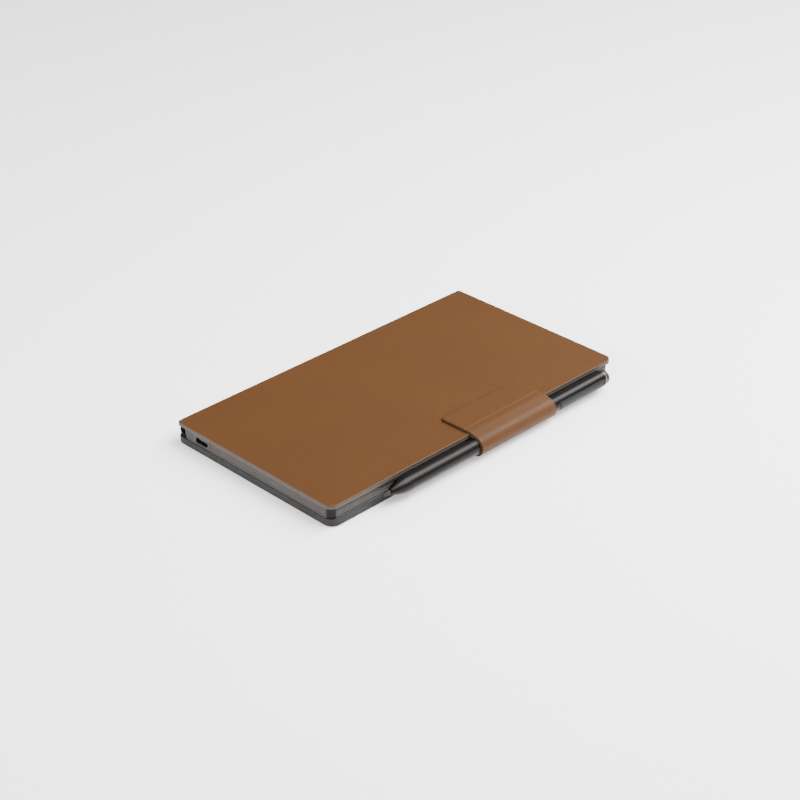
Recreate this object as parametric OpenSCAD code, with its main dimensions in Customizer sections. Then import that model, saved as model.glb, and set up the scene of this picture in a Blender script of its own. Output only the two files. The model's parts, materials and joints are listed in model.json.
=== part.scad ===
// Slim e-paper tablet in a leather book folio, with a stylus held along its long edge by a closing strap.
// Origin: centre of the folio's footprint, on the surface that it lies on. +Y runs along the long edge,
// +X points from the spine to the stylus, +Z is up. Everything is drawn closed, as it lies on a table.

/* [Cover] */
// Width of the front cover, from the spine side to the stylus side
cover_w = 108.5; // [106:0.1:112]
// Length of the front cover
cover_l = 197.4; // [196.6:0.1:200]
// Radius of the cover's plan corners on the stylus side
cover_r = 4.5; // [3:0.1:6]
// Radius of the cover's plan corners on the spine side
cover_spine_r = 2.2; // [2:0.1:5]
// Thickness of the cover leather
leather_t = 0.8; // [0.6:0.05:1]
// Thickness of the stiff board inside the cover
board_t = 0.7; // [0.5:0.05:1]
// Thickness of the soft lining that faces the screen
lining_t = 0.5; // [0.3:0.05:0.8]
// Gap between the lining and the screen glass
cover_gap = 0.2; // [0.1:0.05:0.5]

/* [Spine] */
// Outside radius of the leather's fold at the top and bottom of the spine
fold_r = 1.8; // [1.4:0.1:2]
// How far the spine strip stops short of each end of the cover
spine_inset = 2.3; // [2:0.1:4]
// Angle of leather left out of each fold, so that it can straighten
fold_gap = 12; // [10:1:15]

/* [Back shell] */
// Height of the moulded back shell
shell_h = 4.3; // [4.1:0.1:4.5]
// Height of the pocket floor that the tablet lies on
pocket_z = 3.6; // [3.5:0.05:3.7]
// How far the shell stands out past the tablet at its short ends
shell_lip = 0.45; // [0.3:0.05:0.6]
// How far the shell stands out past the tablet on the stylus side
shell_side_lip = 0.7; // [0.5:0.05:0.8]
// Radius of the shell's plan corners on the spine side
shell_spine_r = 3.6; // [3:0.1:5]
// Radius of the shell's lower outer edge
shell_edge = 1.2; // [0.8:0.1:1.4]

/* [Tablet] */
// Width of the tablet
tablet_w = 105.8; // [105:0.1:106]
// Length of the tablet
tablet_l = 195.6; // [194:0.1:196]
// Thickness of the tablet
tablet_t = 6.5; // [6.4:0.05:6.6]
// Radius of the tablet's plan corners
tablet_r = 5; // [4.5:0.1:6]
// Height between one side groove and the next
ridge_pitch = 1.45; // [1.4:0.01:1.5]
// Depth of the side grooves
groove_depth = 0.3; // [0.15:0.05:0.4]
// Angle of each corner over which the grooves still run
groove_run_out = 25; // [15:1:35]
// Place of the charging port along the near short edge
port_x = -37; // [-38:0.5:-30]
// Width of the charging port's opening
port_w = 9; // [8.8:0.1:9.4]
// Height of the charging port's opening
port_h = 3.2; // [3:0.1:3.3]
// Place of the power button along the far short edge
button_x = -34; // [-36:0.5:-25]
// Length of the power button
button_w = 13; // [10:0.5:16]
// Travel of the power button
button_travel = 0.35; // [0.2:0.05:0.4]

/* [Stylus] */
// Diameter of the stylus barrel
pen_d = 8.4; // [8.2:0.1:8.4]
// Length of the stylus, tip to end
pen_l = 158.3; // [155:0.1:160]
// Place of the stylus tip along the long edge
pen_tip_y = -69.6; // [-72:0.1:-66]
// Height of the stylus axis
pen_z = 7.15; // [7.1:0.05:7.3]
// Length of the tapered front of the barrel
taper_l = 12; // [10:0.5:16]
// Travel of the nib as it is pressed
nib_travel = 0.4; // [0.2:0.05:0.45]
// Travel of the rear end cap as it is pressed
cap_travel = 0.4; // [0.2:0.05:0.45]

/* [Strap] */
// Near edge of the strap
strap_y0 = -8.6; // [-12:0.1:-4]
// Width of the strap along the long edge
strap_w = 54.6; // [48:0.1:56]
// Free end of the tongue on the cover
tongue_x = 35; // [33:0.1:38]
// Thickness of the strap leather
strap_t = 0.85; // [0.7:0.05:0.9]
// Gap between the stylus and the strap round it
loop_gap = 0.25; // [0.2:0.01:0.3]
// Radius of the tongue's free corners
tongue_r = 3; // [2:0.5:4]
// Height of the raised panel on the tongue
relief_t = 0.2; // [0.1:0.05:0.3]

/* [Hidden] */
$fn = 64;
EPS = 0.02;

// Heights of the stack, from the table up
tablet_z0 = pocket_z;
tablet_z1 = tablet_z0 + tablet_t;
cover_z0 = tablet_z1 + cover_gap;
board_z0 = cover_z0 + lining_t;
leather_z0 = board_z0 + board_t;
cover_z1 = leather_z0 + leather_t;
liner_t = 0.2;

// Plan places
tablet_x = 0.35;
tablet_x1 = tablet_x + tablet_w / 2;
shell_l = tablet_l + 2 * shell_lip;
shell_r = tablet_r + shell_lip;
shell_x1 = tablet_x1 + shell_side_lip;
cover_x1 = cover_w / 2;

// Spine: two folds of leather with a straight wall between them
fold_x = -53.4;
spine_x = fold_x - fold_r;
shell_x0 = spine_x + 0.05;
shell_back_x = fold_x + 0.4;
fold_z1 = cover_z1 - fold_r;
fold_z0 = 0.1 + fold_r;
spine_l = cover_l - 2 * spine_inset;
spine_board_t = 0.4;
spine_lining_t = 0.2;
inner_x = fold_x + 0.5;

// Tablet build-up
wall = 2.4;
rear_t = 0.8;
glass_t = 0.6;
glass_z0 = tablet_z1 - glass_t;
guide_t = 0.4;
panel_t = 0.8;
digitizer_t = 0.4;
plate_t = 0.6;
guide_z0 = glass_z0 - guide_t;
panel_z0 = guide_z0 - panel_t;
digitizer_z0 = panel_z0 - digitizer_t;
plate_z0 = digitizer_z0 - plate_t;
chamber_z0 = tablet_z0 + rear_t;
screen_w = 95;
screen_l = 168;
screen_y = 6;
mid_z = tablet_z0 + tablet_t / 2 + 0.1;
near_y = -tablet_l / 2;
far_y = tablet_l / 2;
port_land = 1.2;
board_top = mid_z - port_h / 2 - 0.05;
pcb_t = 0.8;
groove_r = 0.55;
cavity_w = tablet_w - 2 * wall;
cavity_l = tablet_l - 2 * wall;

// Stylus
pen_r = pen_d / 2;
pen_x = tablet_x1 + 0.3 + pen_r;
nib_l = 4.6;
nib_r = 1.4;
collar_r = 1.5;
bore_t = 12;
bore_r = 3.3;
shaft_r = 0.95;
shaft_end_t = 19;
holder_t = bore_t + 1 + nib_travel;
holder_r = 2;
sensor_t = 26.5;
eraser_t = 146;
eraser_l = 2;
ring_t = pen_l - 3.7;
ring_l = 1;
cap_r = 3.75;
stem_r = 1.45;
running_gap = 0.05;
panel_y0 = strap_y0 + strap_w + 3.5;
panel_y1 = pen_tip_y + ring_t - 1.2;
panel_mid = -20;
panel_half = 50;
panel_sink = 0.35;
panel_proud = 0.15;

// Strap round the stylus
loop_r = pen_r + loop_gap;
loop_R = loop_r + strap_t;
strap_y1 = strap_y0 + strap_w;
strap_lining_t = 0.25;
tongue_z0 = cover_z1 + 0.05;
tongue_z = tongue_z0 + strap_lining_t;
plate_pocket = 0.35;
knee_x = cover_x1 - 0.35;
knee = [knee_x - pen_x, tongue_z - pen_z];
knee_angle = atan2(knee[1], knee[0]) - acos(loop_r / norm(knee));
slope = tan(90 - knee_angle);
wrap_in = [pen_x + loop_r * cos(knee_angle), pen_z + loop_r * sin(knee_angle)];
wrap_out = [pen_x + loop_R * cos(knee_angle), pen_z + loop_R * sin(knee_angle)];
knee_out_x = wrap_out[0] - (tongue_z + strap_t - wrap_out[1]) / slope;
relief_x0 = tongue_x + 0.9;
relief_x1 = 50.5;
relief_inset = 1;
anchor_x = 40;

// ---- Helpers -------------------------------------------------------------------------------------------

// Flat rounded rectangle, centred
module rounded_rect(w, l, r) {
    square([w - 2 * r, l], center = true);
    square([w, l - 2 * r], center = true);
    for (sx = [-1, 1], sy = [-1, 1])
        translate([sx * (w / 2 - r), sy * (l / 2 - r)]) circle(r);
}

// Plate with rounded plan corners from z0 to z1
module plate(w, l, r, z0, z1) {
    translate([0, 0, z0]) linear_extrude(z1 - z0) rounded_rect(w, l, r);
}

// Box given by its two corners
module block(a, b) {
    translate(a) cube(b - a);
}

// A section drawn in X and Z, run along Y
module along_y(y0, y1) {
    translate([0, y1, 0]) rotate([90, 0, 0]) linear_extrude(y1 - y0) children();
}

// A cylinder along Y
module rod_y(x, z, y0, y1, r) {
    translate([x, y0, z]) rotate([-90, 0, 0]) cylinder(r = r, h = y1 - y0);
}

// A wall section swept round the straight sides of a rounded rectangle
module straight_sides(w, l, r) {
    for (side = [0, 1])
        mirror([side, 0, 0]) translate([w / 2 - r, 0, 0]) along_y(-l / 2 + r, l / 2 - r) children();
    for (side = [0, 1])
        mirror([0, side, 0]) rotate(90) translate([l / 2 - r, 0, 0])
            along_y(-w / 2 + r, w / 2 - r) children();
}

// The same section turned through part of each corner
module corners(w, l, r, from, turn) {
    for (i = [0 : 3]) {
        sx = (i == 0 || i == 3) ? 1 : -1;
        sy = (i < 2) ? 1 : -1;
        translate([sx * (w / 2 - r), sy * (l / 2 - r), 0])
            rotate(90 * i + from) rotate_extrude(angle = turn) children();
    }
}

// Stylus parts are drawn along Z from the tip, then laid along Y
module on_pen_axis() {
    translate([pen_x, pen_tip_y, pen_z]) rotate([-90, 0, 0]) children();
}

// ---- Back shell and what is in it ----------------------------------------------------------------------

// Section of the shell's edge, out to a distance r
module shell_section(r) {
    square([r - shell_edge, shell_h]);
    translate([0, shell_edge]) square([r, shell_h - shell_edge]);
    translate([r - shell_edge, shell_edge]) circle(shell_edge);
}

// One long side of the shell with its two corners, at x > 0
module shell_side(x, r) {
    translate([x - r, 0, 0]) {
        along_y(-shell_l / 2 + r, shell_l / 2 - r) shell_section(r);
        for (side = [0, 1])
            mirror([0, side, 0]) translate([0, shell_l / 2 - r, 0])
                rotate_extrude(angle = 90) shell_section(r);
    }
}

module shell_body() {
    x0 = shell_x0 + shell_spine_r;
    x1 = shell_x1 - shell_r;
    shell_side(shell_x1, shell_r);
    mirror([1, 0, 0]) shell_side(-shell_x0, shell_spine_r);
    for (side = [0, 1])
        mirror([0, side, 0]) rotate(90) translate([shell_l / 2 - shell_r, 0, 0])
            along_y(-x1, -x0) shell_section(shell_r);
    block([x0, -shell_l / 2 + shell_r, 0], [x1, shell_l / 2 - shell_r, shell_h]);
}

spine_anchor_x = -42;
magnet_places = [for (x = [-40, -16, 12, 32], y = [-82, -52, 62, 84]) [x, y]];
magnet_size = [10, 5, 1.2];
rivet_places = [for (i = [0 : 3]) strap_y0 + strap_w * (i + 0.5) / 4];
rivet_x = 45;
rivet_r = 0.9;

module back_shell() {
    color([0.33, 0.32, 0.31]) difference() {
        shell_body();
        translate([tablet_x, 0, 0])
            plate(tablet_w + 0.3, tablet_l + 0.3, tablet_r + 0.15, pocket_z - liner_t, shell_h + 1);
        for (p = magnet_places)
            translate([p[0], p[1], pocket_z - liner_t - magnet_size[2] / 2 + 0.05])
                cube(magnet_size + [0.1, 0.1, 0.1], center = true);
        block([anchor_x - 0.1, strap_y0 - 0.1, pen_z - loop_R - 0.05],
              [shell_x1 + 5, strap_y1 + 0.1, pen_z - loop_r + 0.05]);
        // Room for the spine strip: in front of the pocket's side and in a bed under the floor
        block([shell_x0 - 1, -spine_l / 2 - 0.1, -1], [shell_back_x, spine_l / 2 + 0.1, shell_h + 1]);
        block([shell_x0 - 1, -spine_l / 2 - 0.1, -1],
              [spine_anchor_x + 0.1, spine_l / 2 + 0.1, 0.1 + leather_t + 0.05]);
        for (y = rivet_places)
            translate([rivet_x, y, 0.35]) cylinder(r = rivet_r, h = 4);
    }
}

module back_lining() {
    color([0.42, 0.40, 0.38]) translate([tablet_x, 0, 0])
        plate(tablet_w, tablet_l, tablet_r, pocket_z - liner_t, pocket_z);
}

module back_magnets() {
    color("silver") for (p = magnet_places)
        translate([p[0], p[1], pocket_z - liner_t - magnet_size[2] / 2]) cube(magnet_size, center = true);
}

module spine_anchor() {
    color([0.55, 0.36, 0.2]) block([fold_x, -spine_l / 2, 0.1],
                                   [spine_anchor_x, spine_l / 2, 0.1 + leather_t]);
}

module strap_rivets() {
    color("silver") for (y = rivet_places)
        translate([rivet_x, y, 0.35]) cylinder(r = rivet_r, h = pocket_z - liner_t - 0.35);
}

// Fixed half of the strap: riveted in the shell, then under the stylus and up to its outermost point
module strap_lower() {
    color([0.55, 0.36, 0.2]) difference() {
        along_y(strap_y0, strap_y1) {
            intersection() {
                translate([pen_x, pen_z]) difference() {
                    circle(loop_R);
                    circle(loop_r);
                }
                translate([pen_x, pen_z - 10 - EPS]) square([10, 10]);
            }
            translate([anchor_x, pen_z - loop_R]) square([pen_x - anchor_x, strap_t]);
        }
        for (y = rivet_places)
            translate([rivet_x, y, 0]) cylinder(r = rivet_r, h = 4);
    }
}

// ---- Tablet --------------------------------------------------------------------------------------------

// Section of the side wall, with ledges for the glass and the rear cover
module wall_section() {
    difference() {
        translate([tablet_r - wall, tablet_z0]) square([wall, tablet_t]);
        translate([tablet_r - wall - 1, glass_z0 - 0.1]) square([wall, 1 + glass_t]);
        translate([tablet_r - wall - 1, tablet_z0 - 1]) square([wall - 0.2, 1 + rear_t]);
    }
}

groove_heights = [for (i = [0 : 3]) tablet_z0 + 1.08 + i * ridge_pitch];
groove_out = groove_r - groove_depth;

// Grooves along one side between two places, cut into the face at x = 0
module side_grooves(y0, y1) {
    for (z = groove_heights) rod_y(groove_out, z, y0, y1, groove_r);
}

// The grooves' run-out round the start of a corner whose centre is the origin
module groove_ends() {
    for (z = groove_heights) translate([0, 0, z])
        rotate_extrude(angle = groove_run_out) translate([tablet_r + groove_out, 0]) circle(groove_r);
}

// Grooves of a short side, which stop at a smooth land round a port or a button
module short_side_grooves(land_x, land_half) {
    half = tablet_w / 2 - tablet_r;
    translate([0, tablet_l / 2, 0]) rotate(90) {
        side_grooves(-half, -land_x - land_half);
        side_grooves(-land_x + land_half, half);
    }
}

module tablet_frame() {
    half_w = tablet_w / 2 - tablet_r;
    half_l = tablet_l / 2 - tablet_r;
    px = port_x - tablet_x;
    bx = button_x - tablet_x;
    color([0.45, 0.43, 0.42]) translate([tablet_x, 0, 0]) difference() {
        union() {
            straight_sides(tablet_w, tablet_l, tablet_r) wall_section();
            corners(tablet_w, tablet_l, tablet_r, 0, 90) wall_section();
        }
        for (sx = [0, 1]) mirror([sx, 0, 0]) translate([tablet_w / 2, 0, 0]) side_grooves(-half_l, half_l);
        short_side_grooves(bx, button_w / 2 + port_land);
        mirror([0, 1, 0]) short_side_grooves(px, port_w / 2 + port_land);
        for (sx = [0, 1], sy = [0, 1]) mirror([sx, 0, 0]) mirror([0, sy, 0]) translate([half_w, half_l, 0]) {
            groove_ends();
            rotate(90) mirror([0, 1, 0]) groove_ends();
        }
        // Charging port
        translate([px, near_y - 1, mid_z]) rotate([-90, 0, 0]) linear_extrude(wall + 3)
            rounded_rect(port_w, port_h, port_h / 2 - 0.01);
        // Power button, with a wider seat inside for its flange
        translate([bx, far_y - wall - 1, mid_z]) rotate([-90, 0, 0]) linear_extrude(wall + 3)
            rounded_rect(button_w + 0.1, 1.9, 0.94);
        translate([bx, far_y - wall - 1, mid_z]) rotate([-90, 0, 0]) linear_extrude(wall)
            square([button_w + 2.2, 2.9], center = true);
        // Pockets for the magnets that hold the stylus
        for (y = [-44, -22, 22, 60])
            block([tablet_w / 2 - wall - 1, y - 6.1, mid_z - 1.6], [tablet_w / 2 - 1, y + 6.1, mid_z + 1.6]);
    }
}

module tablet_rear_cover() {
    color([0.3, 0.3, 0.3]) translate([tablet_x, 0, 0])
        plate(tablet_w - 2.6, tablet_l - 2.6, tablet_r - 1.3, tablet_z0, tablet_z0 + rear_t);
}

module cover_glass() {
    color([0.75, 0.76, 0.74]) translate([tablet_x, 0, 0])
        plate(tablet_w - 2.2, tablet_l - 2.2, tablet_r - 1.1, glass_z0, tablet_z1);
}

module display_gasket() {
    color([0.1, 0.1, 0.1]) translate([tablet_x, 0, glass_z0 - 0.1]) linear_extrude(0.1) difference() {
        rounded_rect(tablet_w - 2.4, tablet_l - 2.4, tablet_r - 1.2);
        rounded_rect(cavity_w, cavity_l, tablet_r - wall);
    }
}

module front_light_guide() {
    color([0.85, 0.88, 0.9]) translate([tablet_x, screen_y, 0])
        plate(screen_w, screen_l, 1, guide_z0, glass_z0);
}

module light_bar() {
    color([0.9, 0.85, 0.5]) block([tablet_x - 40, screen_y - screen_l / 2 - 2.6, guide_z0],
                                  [tablet_x + 40, screen_y - screen_l / 2 - 0.1, glass_z0 - 0.05]);
}

module epaper_panel() {
    color([0.86, 0.86, 0.82]) translate([tablet_x, screen_y, 0])
        plate(screen_w, screen_l, 1, panel_z0, guide_z0);
}

module pen_digitizer() {
    color([0.15, 0.35, 0.2]) translate([tablet_x, screen_y, 0])
        plate(screen_w, screen_l, 1, digitizer_z0, panel_z0);
}

plate_screw_places = [for (x = [-46, 46], y = [-72, 6, 84]) [x + tablet_x, y]];

module mid_plate() {
    color([0.6, 0.6, 0.6]) difference() {
        translate([tablet_x, screen_y, 0])
            plate(cavity_w - 0.2, screen_l + 2, tablet_r - wall, plate_z0, digitizer_z0);
        for (p = plate_screw_places)
            translate([p[0], p[1], plate_z0 - 1]) cylinder(r = 0.8, h = 4);
    }
}

module mid_plate_screws() {
    color("dimgray") for (p = plate_screw_places) translate([p[0], p[1], 0]) {
        translate([0, 0, chamber_z0]) cylinder(r = 0.8, h = digitizer_z0 - chamber_z0);
        translate([0, 0, plate_z0 - 0.5]) cylinder(r = 1.4, h = 0.5);
    }
}

battery_x = 43;
battery_y = [-56, 58];

module battery_cell() {
    color([0.7, 0.7, 0.72]) translate([tablet_x, (battery_y[0] + battery_y[1]) / 2, 0])
        plate(2 * battery_x, battery_y[1] - battery_y[0], 1.2, chamber_z0 + 0.1, plate_z0 - 0.1);
}

board_y = [-94.8, -60];
board_half_w = 44;
flex_x = [31, 42];
flex_drop = 1.8;

module battery_lead() {
    color([0.9, 0.5, 0.1])
        block([-30, board_y[1] - 4, board_top], [-22, battery_y[0] - 0.05, board_top + 0.3]);
}

module main_board() {
    color([0.1, 0.35, 0.2]) block([tablet_x - board_half_w, board_y[0], board_top - pcb_t],
                                  [tablet_x + board_half_w, board_y[1], board_top]);
}

module processor_and_memory() {
    color([0.15, 0.15, 0.15]) {
        block([0, -84, board_top], [13, -71, board_top + 0.9]);
        block([16, -83, board_top], [26, -72, board_top + 0.8]);
        block([-14, -82, board_top], [-4, -74, board_top + 0.8]);
    }
}

module shield_can() {
    color("lightgray") difference() {
        block([-17, -86, board_top], [29, -69, board_top + 1.15]);
        block([-16.8, -85.8, board_top - 1], [28.8, -69.2, board_top + 0.95]);
    }
}

module usb_c_connector() {
    color("silver") translate([port_x, near_y + 0.4, mid_z]) rotate([-90, 0, 0]) difference() {
        linear_extrude(7.2) rounded_rect(port_w - 0.06, port_h - 0.06, port_h / 2 - 0.04);
        translate([0, 0, -1]) linear_extrude(7.4)
            rounded_rect(port_w - 0.66, port_h - 0.64, port_h / 2 - 0.33);
    }
}

module usb_c_tongue() {
    color([0.1, 0.1, 0.1]) block([port_x - 3.35, near_y + 1.4, mid_z - 0.35],
                                 [port_x + 3.35, near_y + 6.8, mid_z + 0.35]);
}

// A flexible strip from the edge of the digitizer, past the mid plate's edge and down to the main board
module display_flex() {
    flex_t = 0.15;
    screen_edge = screen_y - screen_l / 2;
    color([0.85, 0.55, 0.15]) {
        block([flex_x[0], screen_edge - flex_drop, digitizer_z0 + 0.1],
              [flex_x[1], screen_edge - 0.02, digitizer_z0 + 0.1 + flex_t]);
        block([flex_x[0], screen_edge - flex_drop, board_top],
              [flex_x[1], screen_edge - flex_drop + flex_t, digitizer_z0 + 0.1 + flex_t]);
    }
}

module antennas() {
    color([0.8, 0.7, 0.4]) for (x = [-20, 26])
        block([x - 14, far_y - wall - 3.2, chamber_z0 + 0.1], [x + 14, far_y - wall - 2, plate_z0 + 1.2]);
}

module docking_magnets() {
    color("silver") translate([tablet_x, 0, 0]) for (y = [-44, -22, 22, 60])
        block([tablet_w / 2 - wall + 0.05, y - 6, mid_z - 1.5], [tablet_w / 2 - 1.05, y + 6, mid_z + 1.5]);
}

module heat_spreader() {
    color([0.2, 0.2, 0.2]) block([-18, -87, plate_z0 - 0.2], [30, -68, plate_z0 - 0.02]);
}

// Power button: a cap in the wall and a flange behind it
module power_button() {
    color([0.35, 0.34, 0.33]) translate([button_x, 0, mid_z]) {
        translate([0, far_y - 1.6, 0]) rotate([-90, 0, 0]) linear_extrude(1.7)
            rounded_rect(button_w, 1.8, 0.89);
        block([-button_w / 2 - 0.8, far_y - 2.1, -1.2], [button_w / 2 + 0.8, far_y - 1.55, 1.2]);
    }
}

module power_switch() {
    color([0.75, 0.72, 0.6]) translate([button_x, far_y - 2.1 - button_travel - 0.1, mid_z]) {
        block([-1.5, -1, -1], [1.5, 0, 1]);
    }
}

module power_bracket() {
    color("silver") translate([button_x, far_y - 3.1 - button_travel - 0.1, mid_z])
        block([-8, -0.5, -1.6], [8, 0, 1]);
}

// ---- Front cover ---------------------------------------------------------------------------------------

module cover_plan() {
    translate([-cover_x1 + cover_spine_r, -cover_l / 2])
        square([cover_w - cover_spine_r - cover_r, cover_l]);
    translate([-cover_x1, -cover_l / 2 + cover_spine_r])
        square([2 * cover_spine_r, cover_l - 2 * cover_spine_r]);
    translate([0, -cover_l / 2 + cover_r]) square([cover_x1, cover_l - 2 * cover_r]);
    for (sy = [-1, 1]) {
        translate([-cover_x1 + cover_spine_r, sy * (cover_l / 2 - cover_spine_r)]) circle(cover_spine_r);
        translate([cover_x1 - cover_r, sy * (cover_l / 2 - cover_r)]) circle(cover_r);
    }
}

// A cover layer, cut back along the spine strip to leave room for the fold
module cover_layer(z0, z1, spine_edge) {
    difference() {
        translate([0, 0, z0]) linear_extrude(z1 - z0) cover_plan();
        block([-cover_w, -spine_l / 2 - 0.1, z0 - 1], [spine_edge, spine_l / 2 + 0.1, z1 + 1]);
    }
}

cover_magnet_places = [for (x = [-30, 44], y = [-86, 86]) [x, y]];
keeper = [[37.5, strap_y0 + 3], [49, strap_y1 - 3]];

module front_cover_leather() {
    color([0.55, 0.36, 0.2]) cover_layer(leather_z0, cover_z1, fold_x);
}

module front_cover_board() {
    color([0.35, 0.33, 0.31]) difference() {
        cover_layer(board_z0, leather_z0, inner_x);
        for (p = cover_magnet_places)
            translate([p[0], p[1], board_z0]) cube([8.1, 8.1, 4], center = true);
        block([keeper[0][0] - 0.05, keeper[0][1] - 0.05, board_z0 - 1],
              [keeper[1][0] + 0.05, keeper[1][1] + 0.05, leather_z0 + 1]);
    }
}

module front_cover_lining() {
    color([0.55, 0.5, 0.46]) cover_layer(cover_z0, board_z0, inner_x);
}

module cover_magnets() {
    color("silver") for (p = cover_magnet_places)
        translate([p[0], p[1], (board_z0 + leather_z0) / 2]) cube([8, 8, board_t - 0.04], center = true);
}

module strap_keeper() {
    color("silver") block([keeper[0][0], keeper[0][1], board_z0 + 0.02], [keeper[1][0], keeper[1][1],
                           leather_z0 - 0.02]);
}

// ---- Spine ---------------------------------------------------------------------------------------------

// One fold: a quarter ring less the sliver that the straightening needs; up = 1 for the top fold
module fold_section(up) {
    translate([fold_x, up > 0 ? fold_z1 : fold_z0]) scale([1, up]) intersection() {
        difference() {
            circle(fold_r);
            circle(fold_r - leather_t);
        }
        polygon([[0, 0], [-4, 0], [-4, 4], [-4 * tan(fold_gap), 4]]);
    }
}

module spine_leather() {
    color([0.55, 0.36, 0.2]) along_y(-spine_l / 2, spine_l / 2) {
        fold_section(1);
        fold_section(-1);
        translate([spine_x, fold_z0]) square([leather_t, fold_z1 - fold_z0]);
    }
}

module spine_board() {
    color([0.35, 0.33, 0.31]) block([spine_x + leather_t, -spine_l / 2 + 1, fold_z0 + 0.4],
                                    [spine_x + leather_t + spine_board_t, spine_l / 2 - 1, fold_z1 - 0.4]);
}

module spine_lining() {
    x0 = spine_x + leather_t + spine_board_t;
    color([0.2, 0.19, 0.18]) block([x0, -spine_l / 2, fold_z0 + 0.4], [x0 + spine_lining_t, spine_l / 2,
                                    fold_z1 - 0.4]);
}

// ---- Strap tongue --------------------------------------------------------------------------------------

// Plan outline of the tongue, run up through its whole height
module tongue_plan(x0, x1, inset, r, z0, z1) {
    translate([0, 0, z0]) linear_extrude(z1 - z0) {
        translate([(x0 + x1) / 2, (strap_y0 + strap_y1) / 2]) rounded_rect(x1 - x0, strap_w - 2 * inset, r);
    }
}

module tongue_section() {
    intersection() {
        translate([pen_x, pen_z]) difference() {
            circle(loop_R);
            circle(loop_r);
        }
        polygon([[pen_x, pen_z], [pen_x + 20, pen_z], [pen_x + 20, pen_z + 20],
                 [pen_x + 20 * cos(knee_angle), pen_z + 20 * sin(knee_angle)]]);
    }
    polygon([wrap_in, [knee_x, tongue_z], [tongue_x, tongue_z], [tongue_x, tongue_z + strap_t],
             [knee_out_x, tongue_z + strap_t], wrap_out]);
}

module strap_tongue() {
    color([0.58, 0.4, 0.25]) difference() {
        union() {
            intersection() {
                along_y(strap_y0, strap_y1) tongue_section();
                tongue_plan(tongue_x, pen_x + 20, 0, tongue_r, 0, 20);
            }
            tongue_plan(relief_x0, relief_x1, relief_inset, 2, tongue_z + strap_t - 0.1,
                        tongue_z + strap_t + relief_t);
        }
        block([36.5, strap_y0 + 2, tongue_z - 1], [50, strap_y1 - 2, tongue_z + plate_pocket + 0.02]);
    }
}

module strap_lining() {
    color([0.2, 0.19, 0.18])
        tongue_plan(tongue_x + 0.1, knee_x - 0.4, 0.1, tongue_r - 0.1, tongue_z0, tongue_z);
}

strap_magnet_places = [for (i = [-1 : 1]) (strap_y0 + strap_y1) / 2 + 15 * i];

module strap_plate() {
    color("lightgray") difference() {
        block([36.6, strap_y0 + 2.1, tongue_z], [49.9, strap_y1 - 2.1, tongue_z + plate_pocket]);
        for (y = strap_magnet_places)
            block([39.9, y - 4.1, tongue_z - 1], [46.1, y + 4.1, tongue_z + 1]);
    }
}

module strap_magnets() {
    color("silver") for (y = strap_magnet_places)
        block([40, y - 4, tongue_z + 0.01], [46, y + 4, tongue_z + plate_pocket - 0.01]);
}

// ---- Stylus --------------------------------------------------------------------------------------------

// Radius of the tapered front, full and round like a pointed arch
function taper(s) = collar_r + (pen_r - collar_r) * pow(sin(90 * s), 0.9);
taper_steps = 14;

module barrel_profile() {
    polygon(concat(
        [[0, nib_l]],
        [for (i = [0 : taper_steps]) [taper(i / taper_steps), nib_l + taper_l * i / taper_steps]],
        [[pen_r, ring_t], [0, ring_t]]));
}

// The long inlay's bed, opened from the barrel's outer lower side
module panel_bed(r_in, r_out, gap) {
    y0 = panel_y0 - pen_tip_y + gap;
    y1 = panel_y1 - pen_tip_y - gap;
    intersection() {
        difference() {
            translate([0, 0, y0]) cylinder(r = r_out, h = y1 - y0);
            translate([0, 0, y0 - 1]) cylinder(r = r_in, h = y1 - y0 + 2);
        }
        // Laid along Y, the barrel's own -Y axis points up, so angles above the horizontal are negative
        rotate(-panel_mid) linear_extrude(pen_l) polygon([
            [0, 0],
            [10 * cos(panel_half - gap), 10 * sin(panel_half - gap)],
            [30, 0],
            [10 * cos(panel_half - gap), -10 * sin(panel_half - gap)]]);
    }
}

module pen_barrel() {
    color([0.16, 0.15, 0.15]) on_pen_axis() difference() {
        rotate_extrude() barrel_profile();
        translate([0, 0, -1]) cylinder(r = shaft_r + running_gap, h = bore_t + 2);
        translate([0, 0, bore_t]) cylinder(r = bore_r, h = pen_l);
        panel_bed(pen_r - panel_sink, pen_r + 1, 0);
    }
}

module pen_side_panel() {
    color([0.22, 0.21, 0.21]) on_pen_axis() panel_bed(pen_r - panel_sink + 0.01, pen_r + panel_proud, 0.1);
}

module pen_end_ring() {
    color([0.6, 0.58, 0.57]) on_pen_axis() difference() {
        translate([0, 0, ring_t]) cylinder(r1 = pen_r, r2 = cap_r + 0.1, h = ring_l);
        cylinder(r = stem_r + running_gap, h = pen_l);
    }
}

module pen_coil() {
    color([0.7, 0.4, 0.2]) on_pen_axis() difference() {
        translate([0, 0, bore_t + 1]) cylinder(r = bore_r, h = 10);
        cylinder(r = holder_r + 0.1, h = sensor_t);
    }
}

module pressure_sensor() {
    color([0.2, 0.4, 0.25]) on_pen_axis() translate([0, 0, sensor_t]) cylinder(r = bore_r, h = 2.5);
}

module pen_circuit_board() {
    color([0.1, 0.35, 0.2]) on_pen_axis() translate([-2.8, -0.4, 30]) cube([5.6, 0.8, 62]);
}

module pen_cell() {
    color([0.5, 0.6, 0.7]) on_pen_axis() translate([0, 0, 94]) cylinder(r = 3, h = 34);
}

module pen_magnets() {
    color("silver") on_pen_axis() for (t = [131, 138]) translate([0, 0, t]) cylinder(r = 2.9, h = 5);
}

module eraser_sensor() {
    color([0.2, 0.4, 0.25]) on_pen_axis() translate([0, 0, eraser_t]) cylinder(r = bore_r, h = eraser_l);
}

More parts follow.
